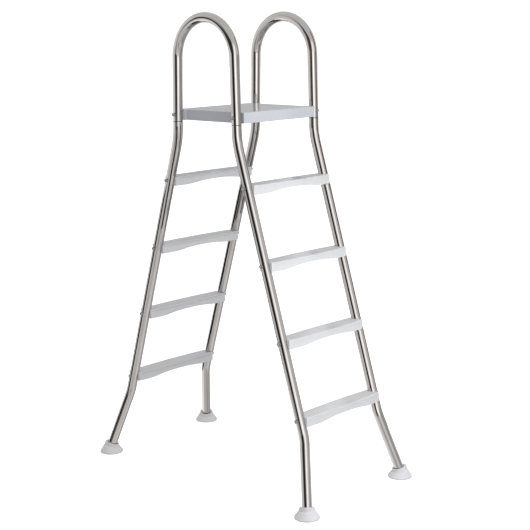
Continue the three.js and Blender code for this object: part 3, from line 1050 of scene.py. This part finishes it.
# and close to the ladder.
FLOOR_NEAR = [
    (-180, 0.12), (-150, 0.15), (-130, 0.45), (-105, 0.72), (-60, 0.72), (-20, 0.6), (10, 0.48),
    (40, 0.45), (75, 0.35), (105, 0.5), (140, 0.25), (160, 0.12), (180, 0.12),
]
# (from, to, band): a band takes over from the one below it between two heights, in degrees.
BANDS = (
    (-50, -45, FLOOR_FAR), (-35, -31, FLOOR_EDGE), (-25, -22, SKIRTING), (-16, -13, DADO),
    (-8, -5, WALLS), (3, 10, UPPER),
)
PEAK = 4
CEILING = 0.79
CEILING_STARTS, CEILING_FULL = 22, 36
FILL_ABOVE = 0.6
FILL_BELOW = 0.24
FILL_BLEND = 12
CLEAR_WHITE = 1.1
WORLD_TINT = (1, 0.985, 0.975)


def mixed(tree, share, first, second):
    """first where share is 0 and second where it is 1, for plain numbers."""
    difference = arithmetic(tree, "SUBTRACT", second, first)
    return arithmetic(tree, "MULTIPLY_ADD", share, difference, first)


def around(tree, azimuth, stops):
    """A brightness from 0 to PEAK that follows the compass direction."""
    node = tree.nodes.new("ShaderNodeFloatCurve")
    curve = node.mapping.curves[0]
    points = [((a + 180) / 360, v / PEAK) for a, v in stops]
    curve.points[0].location = points[0]
    curve.points[1].location = points[-1]
    for x, y in points[1:-1]:
        curve.points.new(x, y)
    for point in curve.points:
        point.handle_type = "AUTO_CLAMPED"
    node.mapping.update()
    turn = arithmetic(tree, "MULTIPLY_ADD", azimuth, 1 / 360, 0.5)
    tree.links.new(turn, node.inputs["Value"])
    return arithmetic(tree, "MULTIPLY", node.outputs["Value"], PEAK)


def studio_world():
    """White behind the ladder, an even fill for plain surfaces, and bands for shiny ones."""
    world = bpy.data.worlds.new("studio")
    world.use_nodes = True
    bpy.context.scene.world = world
    tree = world.node_tree
    tree.nodes.clear()
    direction = tree.nodes.new("ShaderNodeTexCoord").outputs["Generated"]
    split = tree.nodes.new("ShaderNodeSeparateXYZ")
    tree.links.new(direction, split.inputs["Vector"])
    x, y, z = split.outputs
    degrees = 180 / math.pi
    azimuth = arithmetic(tree, "MULTIPLY", arithmetic(tree, "ARCTAN2", y, x), degrees)
    height = arithmetic(tree, "MULTIPLY", arithmetic(tree, "ARCSINE", z), degrees)
    seen = around(tree, azimuth, FLOOR_NEAR)
    for low, high, band in BANDS:
        seen = mixed(tree, eased(tree, height, low, high), seen, around(tree, azimuth, band))
    seen = mixed(tree, eased(tree, height, CEILING_STARTS, CEILING_FULL), seen, CEILING)
    fill = mixed(tree, eased(tree, height, -FILL_BLEND, FILL_BLEND), FILL_BELOW, FILL_ABOVE)
    rays = tree.nodes.new("ShaderNodeLightPath")
    strength = mixed(tree, rays.outputs["Is Glossy Ray"], fill, seen)
    strength = mixed(tree, rays.outputs["Is Camera Ray"], strength, CLEAR_WHITE)
    background = tree.nodes.new("ShaderNodeBackground")
    background.inputs["Color"].default_value = (*WORLD_TINT, 1)
    tree.links.new(strength, background.inputs["Strength"])
    output = tree.nodes.new("ShaderNodeOutputWorld")
    tree.links.new(background.outputs["Background"], output.inputs["Surface"])


# ---------------------------------------------------------------- strips seen in the steel

BLACK = (0.01, 0.01, 0.01)
FAR = 0.5
NEAR = 0.15


def flag(name, ends, azimuths, distance, width, shade):
    """A strip standing beside the line between two ends, that only shows as a reflection.

    azimuths gives the direction from the line to the strip at each end.
    """
    verts = []
    for end, azimuth in zip(ends, azimuths):
        turn = math.radians(azimuth)
        toward = Vector((math.cos(turn), math.sin(turn), 0))
        across = Vector((-toward.y, toward.x, 0)) * width / 2
        middle = Vector(end) + toward * distance
        verts += [middle - across, middle + across]
    obj = mesh_object(name, verts, [(0, 1, 3, 2)])
    material, _, shader = new_material(name)
    shader.inputs["Base Color"].default_value = (0, 0, 0, 1)
    shader.inputs["Specular IOR Level"].default_value = 0
    shader.inputs["Emission Color"].default_value = (*shade, 1)
    shader.inputs["Emission Strength"].default_value = 1
    obj.data.materials.append(material)
    obj.visible_camera = False
    obj.visible_diffuse = False
    obj.visible_shadow = False


def leg_flag(name, side, azimuth):
    """Stands lower than the back leg it leans with, since the leg's face looks down at it."""
    drop = FAR * math.tan(math.radians(14))
    low, high = 0.02, 1.06
    ends = [(-leg_x(z + drop), side * TRACK_HALF, z) for z in (low, high)]
    flag(name, ends, (azimuth, azimuth), distance=FAR, width=0.34, shade=BLACK)


def knee_flag(name, side, azimuths, grey):
    """Draws a line up the knee of a back leg."""
    drop = NEAR * math.tan(math.radians(30))
    low, high = 0.98, 1.46
    ends = [(-leg_x(z), side * TRACK_HALF, z - drop) for z in (low, high)]
    flag(name, ends, azimuths, distance=NEAR, width=0.085, shade=(grey, grey, grey))


def front_flag(name, azimuths, width, shade):
    """Draws a line up the right front leg."""
    low, high = 0.2, 1.36
    ends = [(leg_x(z), TRACK_HALF, z) for z in (low, high)]
    flag(name, ends, azimuths, NEAR, width, shade)


def rail_flag():
    """Darkens the outer edge of the right handrail."""
    low, high = SEAM - 0.15, RAIL_TOP + 0.5
    ends = [(rail_x(SEAM), TRACK_HALF, z) for z in (low, high)]
    shade = (0.13, 0.1, 0.09)
    flag("flag_handrail_right", ends, (42, 42), distance=FAR, width=0.24, shade=shade)


def hoop_flag():
    """Draws the dark line over the top of the left handrail."""
    low, high = RAIL_TOP - 0.12, RAIL_TOP + 0.08
    ends = [(0, -TRACK_HALF, z) for z in (low, high)]
    shade = (0.06, 0.06, 0.06)
    flag("flag_hoop_left", ends, (-115, -115), distance=0.47, width=0.44, shade=shade)


def flags():
    leg_flag("flag_back_left", -1, -130)
    leg_flag("flag_back_right", 1, -140)
    knee_flag("flag_knee_left_outer", -1, (-44, -78), 0.03)
    knee_flag("flag_knee_left_inner", -1, (50, 22), 0.17)
    knee_flag("flag_knee_right_outer", 1, (-80, -85), 0.09)
    knee_flag("flag_knee_right_inner", 1, (9, 20), 0.08)
    front_flag("flag_front_right_pale", (-124, -124), 0.215, (0.82, 0.79, 0.77))
    front_flag("flag_front_right_dark", (-70, -78), 0.085, BLACK)
    front_flag("flag_front_right_edge", (82, 44), 0.09, (0.12, 0.07, 0.07))
    rail_flag()
    hoop_flag()


bpy.context.scene.view_settings.view_transform = "Standard"
flags()
camera()
floor()
studio_world()
area_light(
    "key",
    place=(1.22, -0.15, 1.24),
    target=(0.33, -0.12, 1.06),
    size=(1.0, 2.0),
    power=9.5,
)
